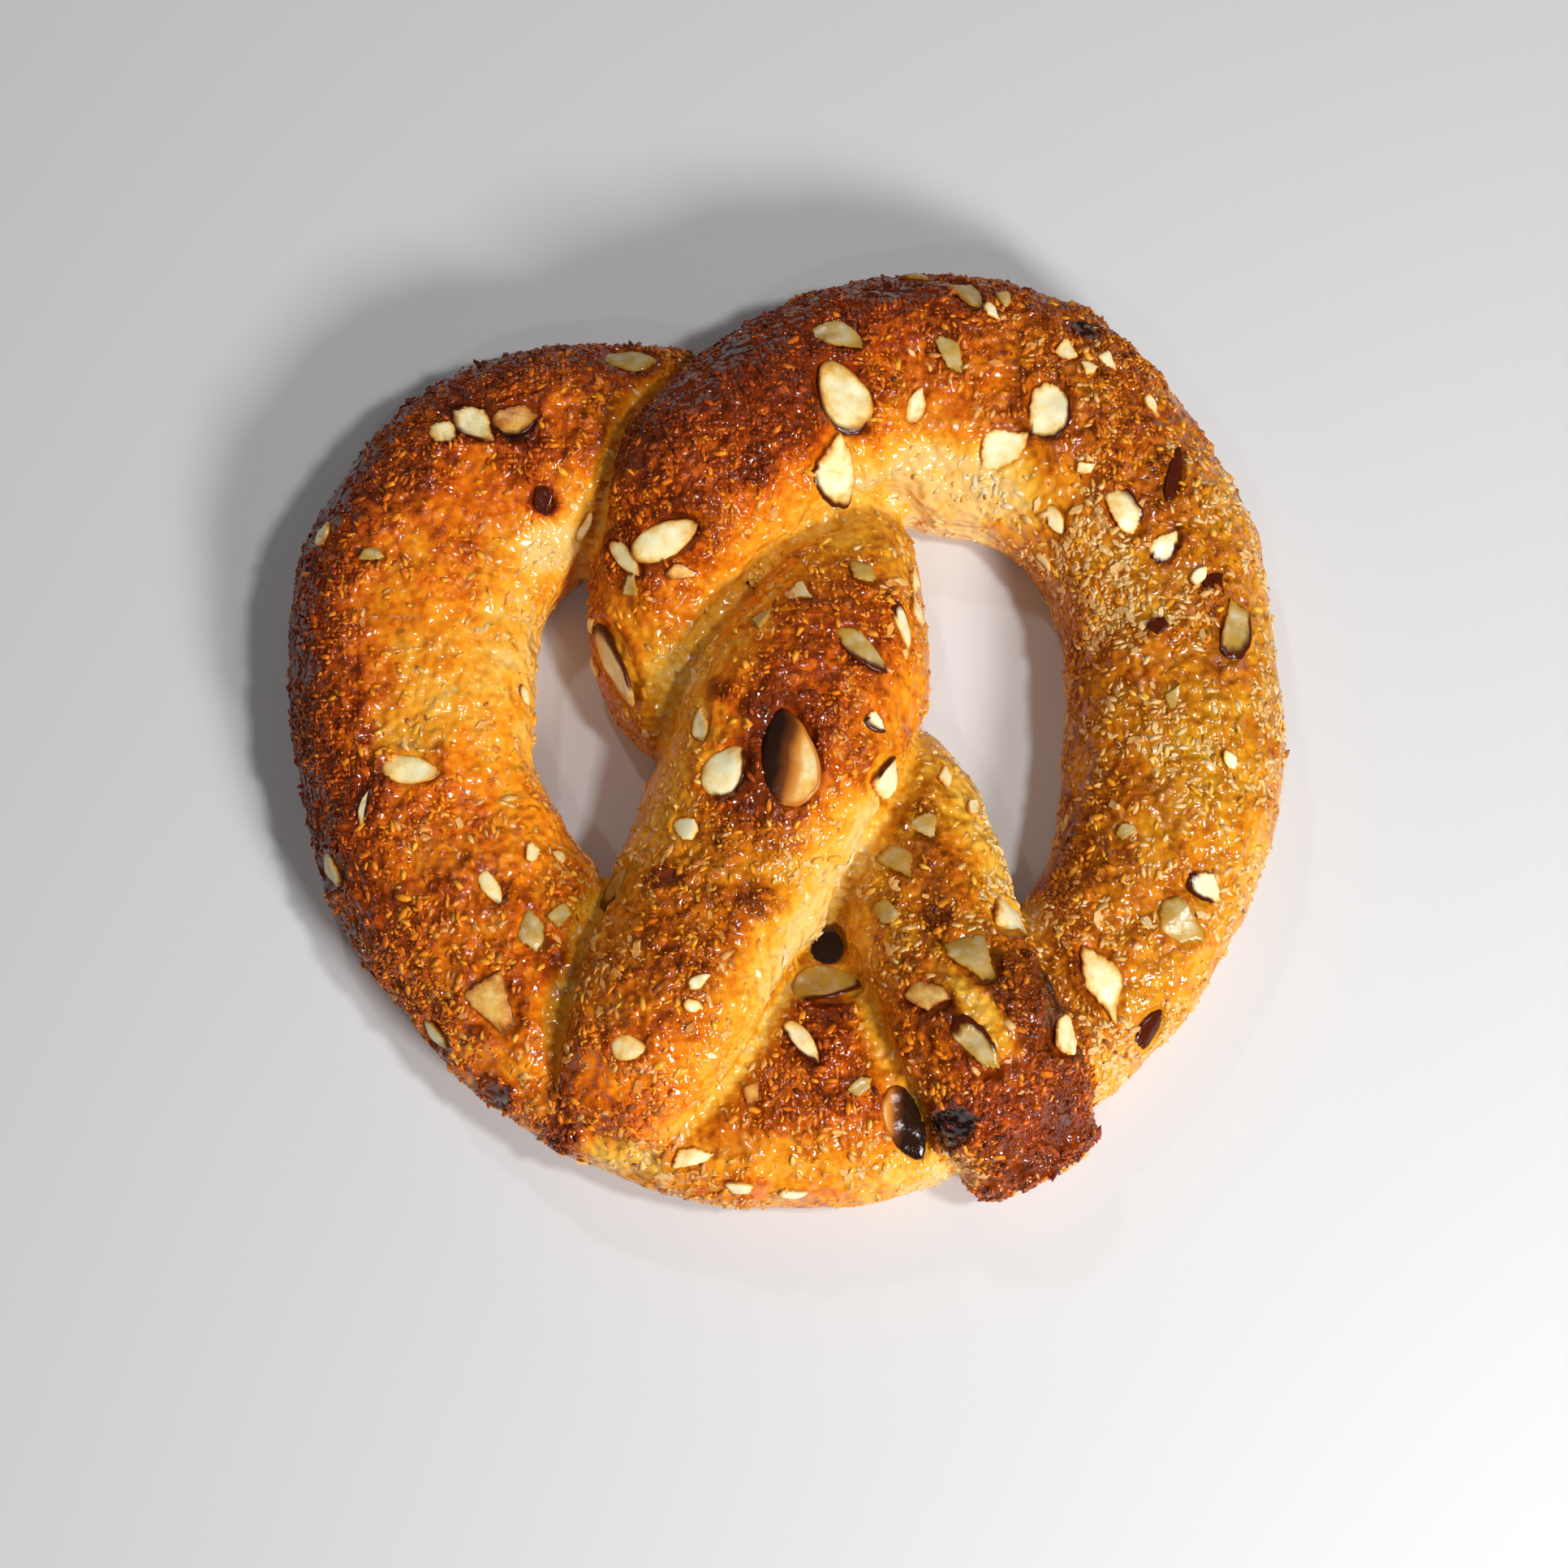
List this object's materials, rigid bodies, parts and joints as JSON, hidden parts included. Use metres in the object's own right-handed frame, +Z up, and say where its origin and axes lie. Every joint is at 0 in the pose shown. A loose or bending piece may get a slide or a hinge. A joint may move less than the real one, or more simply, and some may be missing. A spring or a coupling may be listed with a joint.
{
  "type": "soft pretzel",
  "caption": "Large baked soft pretzel: one twisted rope of glazed dough with both ends over its belly, set with flaked almonds.",
  "frame": {"origin": "centre of the bounding box in plan, on the flat baked base the pretzel rests on", "axes": "+X across the pretzel, from its left loop to its right loop; +Y from the belly, where the two ends lie, to the top lobes; +Z up out of the crust"},
  "size_m": [0.1735, 0.1655, 0.035],
  "materials": {
    "baked_crust": "satin",
    "almond": "satin"
  },
  "bodies": {
    "root": {"pretzel_dough": "baked_crust", "almond_flake_01": "almond", "almond_flake_02": "almond", "almond_flake_03": "almond", "almond_flake_04": "almond", "almond_flake_05": "almond", "almond_flake_06": "almond", "almond_flake_07": "almond", "almond_flake_08": "almond", "almond_flake_09": "almond", "almond_flake_10": "almond", "almond_flake_11": "almond", "almond_flake_12": "almond", "almond_flake_13": "almond", "almond_flake_14": "almond", "almond_flake_15": "almond", "almond_flake_16": "almond", "almond_flake_17": "almond", "almond_flake_18": "almond", "almond_flake_19": "almond", "almond_flake_20": "almond", "almond_flake_21": "almond", "almond_flake_22": "almond", "almond_flake_23": "almond", "almond_flake_24": "almond", "almond_flake_25": "almond", "almond_flake_26": "almond", "almond_flake_27": "almond", "almond_flake_28": "almond", "almond_flake_29": "almond", "almond_flake_30": "almond", "almond_flake_31": "almond", "almond_flake_32": "almond", "almond_flake_33": "almond", "almond_flake_34": "almond", "almond_flake_35": "almond", "almond_flake_36": "almond", "almond_flake_37": "almond", "almond_flake_38": "almond", "almond_flake_39": "almond", "almond_flake_40": "almond", "almond_flake_41": "almond", "almond_flake_42": "almond", "almond_flake_43": "almond", "almond_flake_44": "almond", "almond_flake_45": "almond", "almond_flake_46": "almond", "almond_flake_47": "almond", "almond_flake_48": "almond", "almond_flake_49": "almond", "almond_flake_50": "almond", "almond_flake_51": "almond", "almond_flake_52": "almond", "almond_flake_53": "almond", "almond_flake_54": "almond", "almond_flake_55": "almond"}
  },
  "joints": []
}
